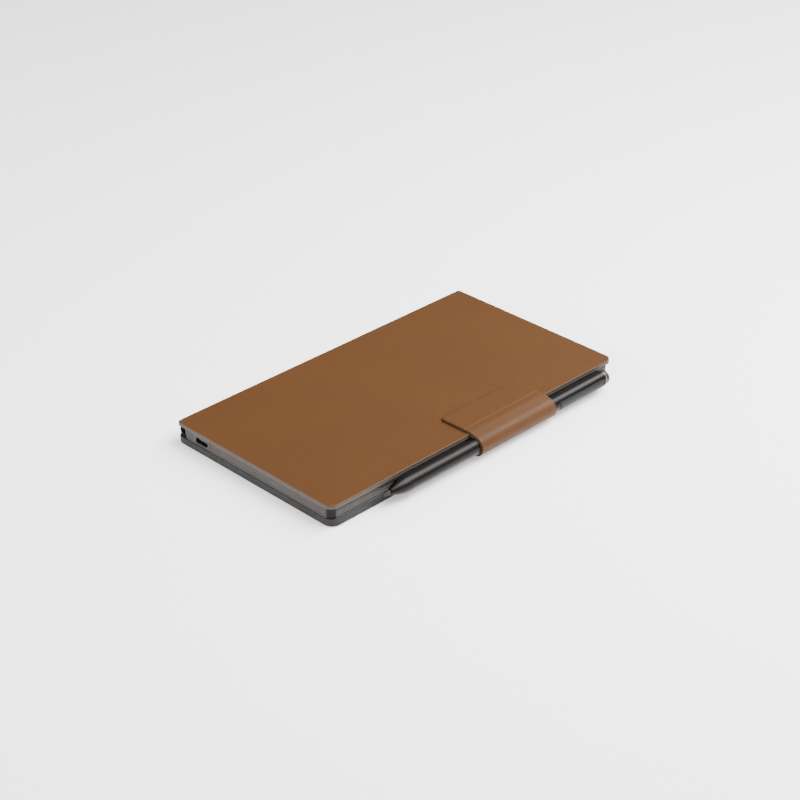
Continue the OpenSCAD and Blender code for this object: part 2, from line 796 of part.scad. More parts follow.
// Nib: a cone that ends in a small round point, on a plain shaft
module pen_nib() {
    color([0.2, 0.2, 0.2]) on_pen_axis() {
        translate([0, 0, 0.3]) cylinder(r1 = 0.42, r2 = nib_r, h = nib_l - 0.3 - nib_travel - 0.05);
        translate([0, 0, 0.3]) intersection() {
            sphere(r = 0.42);
            translate([-1, -1, -0.3]) cube([2, 2, 0.3]);
        }
        translate([0, 0, 3]) cylinder(r = shaft_r, h = shaft_end_t - 3);
    }
}

module nib_holder() {
    color([0.3, 0.3, 0.32]) on_pen_axis() difference() {
        translate([0, 0, holder_t]) cylinder(r = holder_r, h = sensor_t - nib_travel - 0.05 - holder_t);
        cylinder(r = shaft_r, h = shaft_end_t);
    }
}

module pen_end_cap() {
    cap_t = ring_t + ring_l + cap_travel + 0.02;
    dome = 1.3;
    color([0.08, 0.08, 0.08]) on_pen_axis() {
        translate([0, 0, cap_t]) cylinder(r = cap_r, h = pen_l - dome - cap_t);
        translate([0, 0, pen_l - dome]) rotate_extrude() {
            square([cap_r - dome, dome]);
            intersection() {
                translate([cap_r - dome, 0]) circle(dome);
                square([cap_r, dome]);
            }
        }
        translate([0, 0, eraser_t + eraser_l + cap_travel + 0.05])
            cylinder(r = stem_r, h = cap_t - eraser_t - eraser_l);
    }
}

back_shell();
back_lining();
back_magnets();
spine_anchor();
strap_lower();
strap_rivets();
tablet_frame();
tablet_rear_cover();
cover_glass();
display_gasket();
front_light_guide();
light_bar();
epaper_panel();
pen_digitizer();
mid_plate();
mid_plate_screws();
battery_cell();
battery_lead();
main_board();
processor_and_memory();
shield_can();
usb_c_connector();
usb_c_tongue();
display_flex();
antennas();
docking_magnets();
heat_spreader();
power_button();
power_switch();
power_bracket();
front_cover_leather();
front_cover_board();
front_cover_lining();
cover_magnets();
strap_keeper();
spine_leather();
spine_board();
spine_lining();
strap_tongue();
strap_lining();
strap_plate();
strap_magnets();
pen_barrel();
pen_side_panel();
pen_end_ring();
pen_coil();
pressure_sensor();
pen_circuit_board();
pen_cell();
pen_magnets();
eraser_sensor();
pen_nib();
nib_holder();
pen_end_cap();
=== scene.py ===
"""Looks of the e-paper tablet in its leather folio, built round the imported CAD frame.

Sizes are millimetres in the CAD's frame (X from the spine to the stylus, Y along the long edge, Z up).
MM turns them to metres as each mesh is made.
"""

import json
import math

import bpy
from mathutils import Matrix, Vector, geometry


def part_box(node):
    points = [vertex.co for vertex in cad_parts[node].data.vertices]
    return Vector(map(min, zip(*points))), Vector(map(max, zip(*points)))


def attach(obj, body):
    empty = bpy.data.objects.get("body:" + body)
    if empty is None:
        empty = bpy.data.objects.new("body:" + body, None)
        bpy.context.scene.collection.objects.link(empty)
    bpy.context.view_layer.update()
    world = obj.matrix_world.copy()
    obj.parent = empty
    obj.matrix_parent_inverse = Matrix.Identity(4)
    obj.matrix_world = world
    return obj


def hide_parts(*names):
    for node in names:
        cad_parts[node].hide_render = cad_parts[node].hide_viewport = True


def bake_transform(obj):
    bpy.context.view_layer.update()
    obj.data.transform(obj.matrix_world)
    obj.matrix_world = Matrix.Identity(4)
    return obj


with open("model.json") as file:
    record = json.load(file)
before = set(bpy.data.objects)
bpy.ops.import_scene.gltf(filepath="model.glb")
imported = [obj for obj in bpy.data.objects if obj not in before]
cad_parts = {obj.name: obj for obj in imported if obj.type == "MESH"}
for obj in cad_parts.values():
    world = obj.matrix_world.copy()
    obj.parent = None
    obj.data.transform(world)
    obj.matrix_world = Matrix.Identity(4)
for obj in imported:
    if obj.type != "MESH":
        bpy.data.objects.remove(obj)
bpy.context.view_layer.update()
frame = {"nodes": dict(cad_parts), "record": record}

MM = 0.001
SCENE = bpy.context.scene


# ---- Sizes from the frame ----------------------------------------------------------------------------------


def box_mm(node):
    """Lowest and highest corner of a CAD node, in millimetres."""
    low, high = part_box(node)
    return low / MM, high / MM


cover_low, cover_high = box_mm("front_cover_leather")
spine_low, spine_high = box_mm("spine_leather")
anchor_low, anchor_high = box_mm("spine_anchor")
strap_low, strap_high = box_mm("strap_lower")
tongue_low, tongue_high = box_mm("strap_tongue")
pad_high = box_mm("strap_lining")[1]
barrel_low, barrel_high = box_mm("pen_barrel")
panel_low, panel_high = box_mm("pen_side_panel")
ring_low, ring_high = box_mm("pen_end_ring")
cap_low, cap_high = box_mm("pen_end_cap")
nib_low, nib_high = box_mm("pen_nib")
screen_low, screen_high = box_mm("epaper_panel")
frame_low, frame_high = box_mm("tablet_frame")

LEATHER = cover_high.z - cover_low.z
# Corner radii of the cover, on the stylus side and on the spine side
COVER_R = 4.5
SPINE_R = 2.2
# Outer radius of the leather's folds, and the lines where the folds begin
FOLD_R = 1.8
FOLD_X = anchor_low.x
FOLD_Z1 = cover_high.z - FOLD_R
FOLD_Z0 = anchor_low.z + FOLD_R
SPINE_HALF = spine_high.y
# Thickness of the strap
STRAP_T = 0.85
PEN_R = (barrel_high.z - barrel_low.z) / 2
PEN_X = (barrel_high.x + barrel_low.x) / 2
PEN_Z = (barrel_high.z + barrel_low.z) / 2
LOOP_R = strap_high.x - PEN_X - STRAP_T


# ---- Camera, light and floor -------------------------------------------------------------------------------


def srgb(r, g, b):
    """Linear colour of an 8-bit screen colour."""
    return tuple(((c / 255 + 0.055) / 1.055) ** 2.4 if c > 10 else c / 255 / 12.92 for c in (r, g, b))


def aim(obj, target):
    """Turns a camera or a lamp so that its -Z axis points at a place."""
    obj.rotation_euler = (Vector(target) - obj.location).to_track_quat("-Z", "Y").to_euler()


def camera():
    azimuth, elevation = math.radians(45.0), math.radians(30.12)
    target = Vector((7.16, -7.76, 11.84)) * MM
    back = Vector((
        math.sin(azimuth) * math.cos(elevation),
        -math.cos(azimuth) * math.cos(elevation),
        math.sin(elevation),
    ))
    data = bpy.data.cameras.new("camera")
    data.lens = 88.0
    data.sensor_width = 36
    data.clip_start, data.clip_end = 0.01, 20
    obj = bpy.data.objects.new("camera", data)
    SCENE.collection.objects.link(obj)
    obj.location = target + back * 0.9615
    aim(obj, target)
    SCENE.camera = obj


def softbox(name, place, target, size, power, colour=(1, 1, 1)):
    data = bpy.data.lights.new(name, "AREA")
    data.shape = "RECTANGLE"
    data.size, data.size_y = size
    data.energy = power
    data.color = colour
    obj = bpy.data.objects.new(name, data)
    SCENE.collection.objects.link(obj)
    obj.location = place
    aim(obj, target)
    return obj


def lights():
    world = bpy.data.worlds.new("studio")
    world.use_nodes = True
    background = world.node_tree.nodes["Background"]
    background.inputs["Color"].default_value = (1, 1, 1, 1)
    background.inputs["Strength"].default_value = 0.6
    SCENE.world = world
    softbox("key_overhead", (0.3, 0.22, 0.66), (0, 0, 0), (0.6, 0.6), 18.5)
    softbox("far_right", (0.15, 1.0, 0.7), (0.03, 0.03, 0), (0.5, 0.5), 17)
    softbox("near_left", (-0.5, -1.0, 0.5), (0, 0, 0), (0.8, 0.5), 18)


def floor():
    mesh = bpy.data.meshes.new("floor")
    half = 6
    corners = [(-half, -half, 0), (half, -half, 0), (half, half, 0), (-half, half, 0)]
    mesh.from_pydata(corners, [], [(0, 1, 2, 3)])
    obj = bpy.data.objects.new("floor", mesh)
    SCENE.collection.objects.link(obj)
    mat = bpy.data.materials.new("floor")
    mat.use_nodes = True
    shader = mat.node_tree.nodes["Principled BSDF"]
    shader.inputs["Base Color"].default_value = (0.94, 0.94, 0.94, 1)
    shader.inputs["Roughness"].default_value = 0.8
    shader.inputs["Specular IOR Level"].default_value = 0.1
    shader.inputs["Emission Color"].default_value = (1, 1, 1, 1)
    shader.inputs["Emission Strength"].default_value = 0.5
    mesh.materials.append(mat)


# ---- Materials ---------------------------------------------------------------------------------------------


class Nodes:
    """Short names for the nodes of one material."""

    def __init__(self, name):
        self.material = bpy.data.materials.new(name)
        self.material.use_nodes = True
        self.tree = self.material.node_tree
        self.shader = self.tree.nodes["Principled BSDF"]
        self.place = self.tree.nodes.new("ShaderNodeTexCoord").outputs["Object"]

    def add(self, kind, settings=(), **inputs):
        node = self.tree.nodes.new(kind)
        for key, value in dict(settings).items():
            setattr(node, key, value)
        for key, value in inputs.items():
            self.feed(node.inputs[key.replace("_", " ")], value)
        return node

    def feed(self, socket, value):
        if isinstance(value, bpy.types.NodeSocket):
            self.tree.links.new(value, socket)
        else:
            socket.default_value = value

    def scaled(self, stretch):
        """The object's own coordinates, stretched along its axes."""
        node = self.add("ShaderNodeMapping", Vector=self.place)
        node.inputs["Scale"].default_value = stretch
        return node.outputs["Vector"]

    def noise(self, size_mm, detail=3.0, rough=0.5, stretch=(1, 1, 1)):
        node = self.add("ShaderNodeTexNoise", Vector=self.scaled(stretch), Scale=1 / (size_mm * MM))
        node.inputs["Detail"].default_value = detail
        node.inputs["Roughness"].default_value = rough
        return node.outputs["Fac"]

    def cells(self, size_mm, feature="F1", stretch=(1, 1, 1)):
        node = self.add("ShaderNodeTexVoronoi", {"feature": feature}, Vector=self.scaled(stretch),
                        Scale=1 / (size_mm * MM))
        return node.outputs["Distance"]

    def bands(self, size_mm, axis, distortion=0.0):
        node = self.add("ShaderNodeTexWave", {"bands_direction": axis}, Vector=self.place,
                        Scale=0.05 * 2 * math.pi / (size_mm * MM), Distortion=distortion)
        return node.outputs["Fac"]

    def math(self, operation, a, b=0.5, c=0.5):
        node = self.add("ShaderNodeMath", {"operation": operation})
        for socket, value in zip(node.inputs, (a, b, c)):
            self.feed(socket, value)
        return node.outputs["Value"]

    def ramp(self, factor, low, high, out_low=0.0, out_high=1.0):
        node = self.add("ShaderNodeMapRange", Value=factor)
        for key, value in (("From Min", low), ("From Max", high), ("To Min", out_low), ("To Max", out_high)):
            node.inputs[key].default_value = value
        return node.outputs["Result"]

    def mix(self, factor, a, b):
        node = self.add("ShaderNodeMix", {"data_type": "RGBA"})
        for socket, value in zip((node.inputs["Factor"], node.inputs[6], node.inputs[7]), (factor, a, b)):
            self.feed(socket, (*value, 1) if isinstance(value, tuple) and len(value) == 3 else value)
        return node.outputs[2]

    def bump(self, height, depth_mm, normal=None):
        node = self.add("ShaderNodeBump", Height=height)
        node.inputs["Strength"].default_value = 1.0
        node.inputs["Distance"].default_value = depth_mm * MM
        if normal is not None:
            self.feed(node.inputs["Normal"], normal)
        return node.outputs["Normal"]

    def finish(self, colour=None, roughness=None, normal=None, **sockets):
        for key, value in (("Base Color", colour), ("Roughness", roughness), ("Normal", normal)):
            if value is not None:
                self.feed(self.shader.inputs[key], (*value, 1) if isinstance(value, tuple) else value)
        for key, value in sockets.items():
            self.shader.inputs[key.replace("_", " ")].default_value = value
        return self.material


def shade(colour, factor):
    return tuple(min(1.0, c * factor) for c in colour)


def mottled(name, colour, roughness, patch=9, spread=0.1, grain=0.35, depth=0.01, rough_spread=0.07,
            stretch=(1, 1, 1), **sockets):
    """A moulded, cast, rolled or painted surface: soft patches of tone, uneven gloss and a fine grain."""
    n = Nodes(name)
    tone = n.ramp(n.noise(patch, 4), 0.3, 0.7)
    base = n.mix(tone, shade(colour, 1 - spread), shade(colour, 1 + spread))
    fine = n.noise(grain, 3, 0.6, stretch)
    gloss = n.ramp(n.noise(patch * 0.4, 3, 0.6, stretch), 0.3, 0.7, roughness - rough_spread,
                   roughness + rough_spread)
    return n.finish(base, gloss, n.bump(fine, depth), **sockets)


def leather(name, colour, dark, roughness=0.5, grain=0.55, depth=0.03):
    """Smooth full-grain leather: fine pebbles, pores, faint clouds of dye and a waxed sheen."""
    n = Nodes(name)
    clouds = n.ramp(n.noise(38, 4, 0.55), 0.25, 0.75)
    base = n.mix(n.math("MULTIPLY", clouds, 0.5), colour, dark)
    flecks = n.ramp(n.noise(1.1, 4, 0.7), 0.52, 0.75)
    base = n.mix(n.math("MULTIPLY", flecks, 0.22), base, shade(dark, 0.8))
    pebbles = n.cells(grain, "SMOOTH_F1")
    creases = n.ramp(n.cells(grain * 0.7, "DISTANCE_TO_EDGE"), 0.0, 0.12)
    pores = n.ramp(n.noise(0.16, 2, 0.5), 0.35, 0.5)
    height = n.math("ADD", n.math("MULTIPLY", pebbles, -0.6), n.math("MULTIPLY", creases, 0.4))
    height = n.math("ADD", height, n.math("MULTIPLY", pores, 0.25))
    waves = n.bump(n.noise(14, 2, 0.4), 0.12)
    gloss = n.ramp(n.noise(3.5, 4, 0.6), 0.3, 0.7, roughness - 0.05, roughness + 0.06)
    return n.finish(base, gloss, n.bump(height, depth, waves), Specular_IOR_Level=0.14)


def cloth(name, colour, fibre=0.22, depth=0.05, sheen=0.3):
    """Microfibre: short matt fibres, slightly uneven in tone."""
    n = Nodes(name)
    nap = n.noise(fibre, 4, 0.75)
    base = n.mix(n.ramp(nap, 0.3, 0.7), shade(colour, 0.78), shade(colour, 1.2))
    wide = n.bump(n.noise(2.2, 3, 0.5), 0.03)
    return n.finish(base, n.ramp(nap, 0.3, 0.7, 0.82, 0.97), n.bump(nap, depth, wide), Sheen_Weight=sheen)


def brushed(name, colour, roughness, along, depth=0.004):
    """Metal with fine straight brush lines along one axis."""
    stretch = tuple(0.04 if i == along else 1 for i in range(3))
    return mottled(name, colour, roughness, 12, 0.05, 0.09, depth, 0.05, stretch, Metallic=1.0)


def circuit_board(name):
    """Solder mask with raised tracks and pads that follow a fine rectangular pattern."""
    n = Nodes(name)
    tracks = n.ramp(n.math("MULTIPLY", n.bands(1.3, "X", 3), n.bands(2.1, "Y", 4)), 0.45, 0.5)
    pads = n.ramp(n.cells(1.7, "F1", (1, 1, 0.02)), 0.2, 0.17)
    mask = n.mix(tracks, (0.008, 0.05, 0.025), (0.016, 0.10, 0.05))
    base = n.mix(pads, mask, (0.62, 0.5, 0.22))
    height = n.math("ADD", n.math("MULTIPLY", tracks, 0.5), pads)
    return n.finish(base, n.ramp(pads, 0, 1, 0.42, 0.28), n.bump(height, 0.03))


def winding(name, colour, pitch):
    """Fine wire wound turn on turn along Y, with painted shade in the grooves between the turns."""
    n = Nodes(name)
    turns = n.bands(pitch, "Y")
    # Painted shade: the colour drops to about a third in the grooves between turns
    base = n.mix(turns, shade(colour, 0.35), colour)
    return n.finish(base, n.ramp(turns, 0, 1, 0.5, 0.28), n.bump(turns, 0.04), Metallic=1.0)


def inside_window(n, low, high, soft=0.05):
    """1 inside a rectangle of X and Y, 0 outside, in the object's own coordinates (millimetres in)."""
    split = n.add("ShaderNodeSeparateXYZ", Vector=n.place)
    both = None
    for axis, a, b in (("X", low[0], high[0]), ("Y", low[1], high[1])):
        place = split.outputs[axis]
        rise = n.ramp(place, (a - soft) * MM, (a + soft) * MM)
        fall = n.ramp(place, (b - soft) * MM, (b + soft) * MM, 1.0, 0.0)
        inner = n.math("MULTIPLY", rise, fall)
        both = inner if both is None else n.math("MULTIPLY", both, inner)
    return both


# Unused rim of the e-paper along X and Y, and the page's own margins inside it
SCREEN_MARGIN = (2.0, 3.0)
PAGE_MARGIN = (8, 12)


def active_area():
    """The part of the e-paper that shows a page."""
    return (
        (screen_low.x + SCREEN_MARGIN[0], screen_low.y + SCREEN_MARGIN[1]),
        (screen_high.x - SCREEN_MARGIN[0], screen_high.y - SCREEN_MARGIN[1]),
    )


def epaper(name):
    """A blank page: paper-white speckle with faint ruled lines across the active area."""
    n = Nodes(name)
    speckle = n.noise(0.12, 2, 0.8)
    paper = n.mix(n.ramp(speckle, 0.3, 0.7), srgb(196, 196, 188), srgb(208, 208, 201))
    ruled = n.ramp(n.bands(8.0, "Y"), 0.985, 0.995)
    low, high = (Vector(corner) for corner in active_area())
    margin = inside_window(n, low + Vector(PAGE_MARGIN), high - Vector(PAGE_MARGIN))
    line = n.math("MULTIPLY", n.math("MULTIPLY", ruled, margin), 0.45)
    base = n.mix(line, paper, srgb(90, 90, 88))
    return n.finish(base, n.ramp(speckle, 0.3, 0.7, 0.55, 0.7), n.bump(speckle, 0.004))


def screen_glass(name):
    """Etched glass, clear over the page and printed pale grey round it."""
    n = Nodes(name)
    window = inside_window(n, *active_area())
    etch = n.noise(0.08, 2, 0.7)
    border = n.mix(n.ramp(n.noise(6, 3), 0.3, 0.7), srgb(205, 205, 203), srgb(212, 212, 210))
    alpha = n.ramp(window, 0, 1, 1.0, 0.10)
    n.feed(n.shader.inputs["Alpha"], alpha)
    return n.finish(border, n.ramp(etch, 0.3, 0.7, 0.3, 0.38), n.bump(etch, 0.002), Specular_IOR_Level=0.4)


# How far the painted dark corners reach in from the tablet's ends and sides
DARK_CORNER_REACH = 3.4


def frame_metal(name):
    """Painted cast metal, with the four rounded corners painted much darker: a painted reflection of the dark
    surroundings their curved faces turn to.
    """
    n = Nodes(name)
    tone = n.ramp(n.noise(10, 4), 0.3, 0.7)
    paint_tone = n.mix(tone, (0.05, 0.0452, 0.0428), (0.056, 0.0502, 0.0478))
    split = n.add("ShaderNodeSeparateXYZ", Vector=n.place)
    sides = []
    for axis, low, high in (("X", frame_low.x, frame_high.x), ("Y", frame_low.y, frame_high.y)):
        away = n.math("ABSOLUTE", n.math("SUBTRACT", split.outputs[axis], (low + high) / 2 * MM))
        reach = (high - low) / 2 - DARK_CORNER_REACH
        sides.append(n.ramp(away, (reach - 0.1) * MM, (reach + 0.1) * MM))
    # Painted reflection: the corners take a near-black tone in place of the dark surroundings they reflect
    base = n.mix(n.math("MULTIPLY", *sides), paint_tone, (0.009, 0.0075, 0.007))
    gloss = n.ramp(n.noise(4, 3, 0.6), 0.3, 0.7, 0.45, 0.55)
    return n.finish(base, gloss, n.bump(n.noise(0.12, 3, 0.6), 0.006), Metallic=0.5, Specular_IOR_Level=0.2)


def make_materials():
    """One finish for each material slot of the record, and the extra ones that single faces take."""
    tan = (0.061, 0.0232, 0.0046)
    tan_dark = (0.05, 0.0186, 0.0035)
    return {
        "tan_leather": leather("tan_leather", tan, tan_dark),
        "leather_edge": mottled("leather_edge", (0.054, 0.033, 0.019), 0.5, 1.2, 0.16, 0.18, 0.03,
                                Specular_IOR_Level=0.2),
        # Painted shade: the strap's cut sides are near black to give the dark shadow line under the strap's
        # edges
        "strap_edge_shade": mottled("strap_edge_shade", (0.014, 0.0085, 0.005), 0.6, 1.2, 0.16, 0.18, 0.03,
                              Specular_IOR_Level=0.1),
        # Flesh side of the leather, darkened beyond its own colour: partly painted shade where it shows along
        # the strap's near edge
        "leather_back": cloth("leather_back", (0.02, 0.011, 0.006), 0.3, 0.05, 0.0),
        "lining": cloth("lining", (0.05, 0.041, 0.036), 0.22, 0.05, 0.1),
        # Painted shade: near black, standing in for the dark cavity between the tablet's round corner and the
        # spine
        "spine_end_shade": mottled("spine_end_shade", (0.0035, 0.0032, 0.003), 0.75, 1.5, 0.2, 0.15, 0.03,
                             Specular_IOR_Level=0.1),
        # Darker than its own grey and without sheen: partly the lining's dark colour, partly painted shade
        # for the gap between the strap and the cover
        "dark_lining": cloth("dark_lining", (0.005, 0.0047, 0.0045), 0.22, 0.05, 0.0),
        "cover_board": mottled("cover_board", (0.07, 0.052, 0.04), 0.7, 2.5, 0.12, 0.2, 0.02,
                               Specular_IOR_Level=0.2),
        "shell_polymer": mottled("shell_polymer", (0.017, 0.0165, 0.0157), 0.6, 14, 0.05, 0.22, 0.02,
                                 Specular_IOR_Level=0.2),
        "frame_metal": frame_metal("frame_metal"),
        "rear_polymer": mottled("rear_polymer", (0.022, 0.0215, 0.021), 0.6, 10, 0.06, 0.15, 0.012),
        "screen_glass": screen_glass("screen_glass"),
        "epaper": epaper("epaper"),
        "light_guide": mottled("light_guide", srgb(225, 230, 233), 0.18, 12, 0.02, 0.5, 0.002, 0.04,
                               Alpha=0.08),
        "adhesive": mottled("adhesive", srgb(34, 34, 34), 0.75, 3, 0.15, 0.25, 0.03),
        "circuit_board": circuit_board("circuit_board"),
        "chip": mottled("chip", srgb(36, 36, 37), 0.5, 3, 0.1, 0.12, 0.01),
        "steel": brushed("steel", (0.1, 0.1, 0.102), 0.3, 1),
        "magnesium": mottled("magnesium", srgb(142, 142, 144), 0.5, 6, 0.08, 0.4, 0.02, 0.08, Metallic=0.9),
        "magnet": mottled("magnet", srgb(200, 199, 196), 0.22, 4, 0.04, 0.3, 0.004, 0.06, Metallic=1.0),
        "cell_pouch": mottled("cell_pouch", srgb(176, 178, 182), 0.34, 7, 0.05, 2.5, 0.05, 0.08,
                              Metallic=0.8),
        "flex": mottled("flex", srgb(190, 122, 44), 0.3, 5, 0.1, 0.8, 0.01),
        "graphite": mottled("graphite", srgb(50, 50, 52), 0.4, 5, 0.12, 0.3, 0.008, Metallic=0.4),
        "copper": winding("copper", srgb(190, 112, 70), 0.22),
        "pen_metal": brushed("pen_metal", (0.0165, 0.0152, 0.0148), 0.36, 1, 0.003),
        "pen_panel": mottled("pen_panel", (0.006, 0.0058, 0.0057), 0.5, 6, 0.08, 0.14, 0.012,
                             Specular_IOR_Level=0.2),
        "pen_ring": brushed("pen_ring", (0.2, 0.19, 0.185), 0.25, 1, 0.002),
        "nib_polymer": mottled("nib_polymer", (0.016, 0.0155, 0.013), 0.6, 1.5, 0.12, 0.12, 0.012,
                               Specular_IOR_Level=0.2),
        "cap_rubber": mottled("cap_rubber", (0.006, 0.006, 0.006), 0.5, 3, 0.1, 0.12, 0.01),
    }


def paint(obj, *mats):
    # Clearing also sets every face back to the first material, so it's left out where nothing is there yet
    if obj.data.materials:
        obj.data.materials.clear()
    for mat in mats:
        obj.data.materials.append(mat)


# ---- Mesh builders -----------------------------------------------------------------------------------------


def new_piece(name, verts, faces, sharp=40):
    """A mesh object from millimetre points, smooth except over sharp angles."""
    mesh = bpy.data.meshes.new(name)
    mesh.from_pydata([Vector(v) * MM for v in verts], [], faces)
    mesh.validate()
    mesh.update()
    mesh.shade_smooth()
    mesh.set_sharp_from_angle(angle=math.radians(sharp))
    obj = bpy.data.objects.new(name, mesh)
    SCENE.collection.objects.link(obj)
    even = obj.modifiers.new("even_normals", "WEIGHTED_NORMAL")
    even.keep_sharp = True
    return obj


def arc(cx, cy, r, start, end, steps=10):
    """Points of an arc, angles in degrees."""
    angles = [math.radians(start + (end - start) * i / steps) for i in range(steps + 1)]
    return [(cx + r * math.cos(a), cy + r * math.sin(a)) for a in angles]


def rounded_box(x0, y0, x1, y1, r, steps=10):
    """Anticlockwise outline of a rectangle with round corners; r is one radius or one for each corner."""
    radii = r if isinstance(r, (list, tuple)) else [r] * 4
    centres = ((x1, y0, -1, 1, -90), (x1, y1, -1, -1, 0), (x0, y1, 1, -1, 90), (x0, y0, 1, 1, 180))
    points = []
    for (x, y, sx, sy, start), radius in zip(centres, radii):
        if radius:
            points += arc(x + sx * radius, y + sy * radius, radius, start, start + 90, steps)
        else:
            points.append((x, y))
    return points


def inset(outline, distance, butt_x=None):
    """The outline moved inwards. Points at butt_x keep their X, so that two pieces can meet there."""
    count = len(outline)
    moved = []
    for i, (x, y) in enumerate(outline):
        before, after = outline[i - 1], outline[(i + 1) % count]
        a = Vector((x - before[0], y - before[1])).normalized()
        b = Vector((after[0] - x, after[1] - y)).normalized()
        na, nb = Vector((-a.y, a.x)), Vector((-b.y, b.x))
        mid = (na + nb).normalized()
        reach = distance / max(0.35, mid.dot(na))
        keeps_x = butt_x is not None and abs(x - butt_x) < 1e-6
        moved.append((x if keeps_x else x + mid.x * reach, y + mid.y * reach))
    return moved


def contains(outline, x, y):
    odd = False
    for i, (xa, ya) in enumerate(outline):
        xb, yb = outline[i - 1]
        if (ya > y) != (yb > y) and x < (xb - xa) * (y - ya) / (yb - ya) + xa:
            odd = not odd
    return odd


def spaced(low, high, step):
    count = max(1, round((high - low) / step))
    return [low + (high - low) * i / count for i in range(count + 1)]


def cap_faces(outline, grid_x, grid_y, margin):
    """Triangles over an outline, with extra points inside it on the lines of a grid."""
    inner = inset(outline, margin)
    points = list(outline)
    points += [(x, y) for x in grid_x for y in grid_y if contains(inner, x, y)]
    count = len(outline)
    ring = [(i, (i + 1) % count) for i in range(count)]
    found = geometry.delaunay_2d_cdt([Vector(p) for p in points], ring, [list(range(count))], 1, 1e-7)
    verts, faces, origins = found[0], found[2], found[3]
    order = [o[0] if o else None for o in origins]
    return [tuple(v) for v in verts], [tuple(f) for f in faces], order


def slab(name, outline, rim, grid_x=(), grid_y=(), shape=None, butt_x=None, margin=0.3):
    """A plate with a shaped edge. rim lists (inset, height) from the top face, down the side, to the bottom
    face; shape maps each (x, y, z) to its place. Faces are numbered top 0, side 1, bottom 2 as materials."""
    loops = [[(*p, z) for p in inset(outline, d, butt_x)] for d, z in rim]
    count = len(outline)
    verts = [p for loop in loops for p in loop]
    faces, kinds = [], []
    for k in range(len(loops) - 1):
        for i in range(count):
            j = (i + 1) % count
            faces.append((k * count + i, (k + 1) * count + i, (k + 1) * count + j, k * count + j))
            kinds.append(1)
    for k, kind in ((0, 0), (len(loops) - 1, 2)):
        z = rim[k][1]
        flat, tris, order = cap_faces([p[:2] for p in loops[k]], grid_x, grid_y, margin)
        index = {}
        for i, p in enumerate(flat):
            if order[i] is not None and order[i] < count:
                index[i] = k * count + order[i]
            else:
                index[i] = len(verts)
                verts.append((*p, z))
        for tri in tris:
            tri = tri if kind == 0 else tri[::-1]
            faces.append(tuple(index[i] for i in tri))
            kinds.append(kind)
    if shape:
        verts = [shape(*v) for v in verts]
    obj = new_piece(name, verts, faces)
    obj.data.polygons.foreach_set("material_index", kinds)
    return obj


def follow(path, s, h):
    """The point at length s along a bent strip's middle and height h above its inner face, as (x, z).
    path is (start, heading, turn, half thickness, parts); parts are ("line", length) or
    ("arc", inner radius, degrees), and turn is 1 for left turns and -1 for right ones."""
    (x, z), heading, turn, mid, parts = path
    a = math.radians(heading)
    for number, part in enumerate(parts):
        last = number == len(parts) - 1
        left = Vector((-math.sin(a), math.cos(a)))
        ahead = Vector((math.cos(a), math.sin(a)))
        if part[0] == "line":
            if s <= part[1] or last:
                p = Vector((x, z)) + ahead * s - left * turn * h
                return p.x, p.y
            x, z = Vector((x, z)) + ahead * part[1]
            s -= part[1]
            continue
        radius, sweep = part[1], math.radians(part[2])
        length = (radius + mid) * sweep
        centre = Vector((x, z)) + left * turn * radius
        here = a + turn * min(s, length) / (radius + mid)
        out = Vector((math.sin(here), -math.cos(here))) * turn
        if s <= length or last:
            p = centre + out * (radius + h)
            return p.x, p.y
        x, z = centre + out * radius
        a, s = here, s - length
    return x, z


def lathe(name, stations, radius, angles, closed=(True, True)):
    """A turned piece along the stylus axis. stations are Y places, radius(y, angle) its size there; angles
    are degrees round the axis, from +X towards +Z."""
    verts, faces = [], []
    count = len(angles)
    for y in stations:
        for angle in angles:
            r, a = radius(y, angle), math.radians(angle)
            verts.append((PEN_X + r * math.cos(a), y, PEN_Z + r * math.sin(a)))
    for k in range(len(stations) - 1):
        for i in range(count):
            j = (i + 1) % count
            faces.append((k * count + i, (k + 1) * count + i, (k + 1) * count + j, k * count + j))
    for end, y in ((0, stations[0]), (1, stations[-1])):
        if closed[end]:
            hub = len(verts)
            verts.append((PEN_X, y, PEN_Z))
            first = 0 if end == 0 else (len(stations) - 1) * count
            for i in range(count):
                pair = (first + i, first + (i + 1) % count)
                faces.append((hub, *pair) if end == 0 else (hub, *pair[::-1]))
    return new_piece(name, verts, faces)


def smooth(t):
    t = min(1.0, max(0.0, t))
    return t * t * (3 - 2 * t)


# ---- Leather, board and lining of the folio ----------------------------------------------------------------

# Inset and drop of the points down a round upper edge
ROUND_RIM = ((0.34, 0.0), (0.2, 0.035), (0.09, 0.1), (0.02, 0.22), (0.0, 0.36))


def rim_down(top, bottom, edge=1.0, foot=0.08):
    """A round upper edge, a plain side and a slightly eased lower edge."""
    upper = [(d * edge, top - drop * edge) for d, drop in ROUND_RIM]
    return upper + [(0.0, bottom + foot), (foot, bottom)]


def spine_path(start_z, heading, parts):
    return ((FOLD_X, start_z), heading, 1, LEATHER / 2, parts)


WALL = FOLD_Z1 - FOLD_Z0
FOLD = ("arc", FOLD_R - LEATHER, 90)
FOLD_LENGTH = (FOLD_R - LEATHER / 2) * math.pi / 2
LEATHER_PATH = spine_path(cover_low.z, 180, [FOLD, ("line", WALL), FOLD, ("line", 40)])


def bend_over_spine(x, y, z):
    """Pattern place to real place: what lies left of the fold line runs down the spine."""
    if x >= FOLD_X or abs(y) > SPINE_HALF + 0.05:
        return (x, y, z)
    px, pz = follow(LEATHER_PATH, FOLD_X - x, z - cover_low.z)
    return (px, y, pz)


def darken_ends(obj, mats):
    """Painted shade on the two short ends of the spine: their side faces turn near black, as the dark cavity
    beside them looks.
    """
    obj.data.materials.append(mats["spine_end_shade"])
    for face in obj.data.polygons:
        place = face.center / MM
        if face.material_index == 1 and place.x < FOLD_X and abs(place.y) > SPINE_HALF - 0.4:
            face.material_index = 3


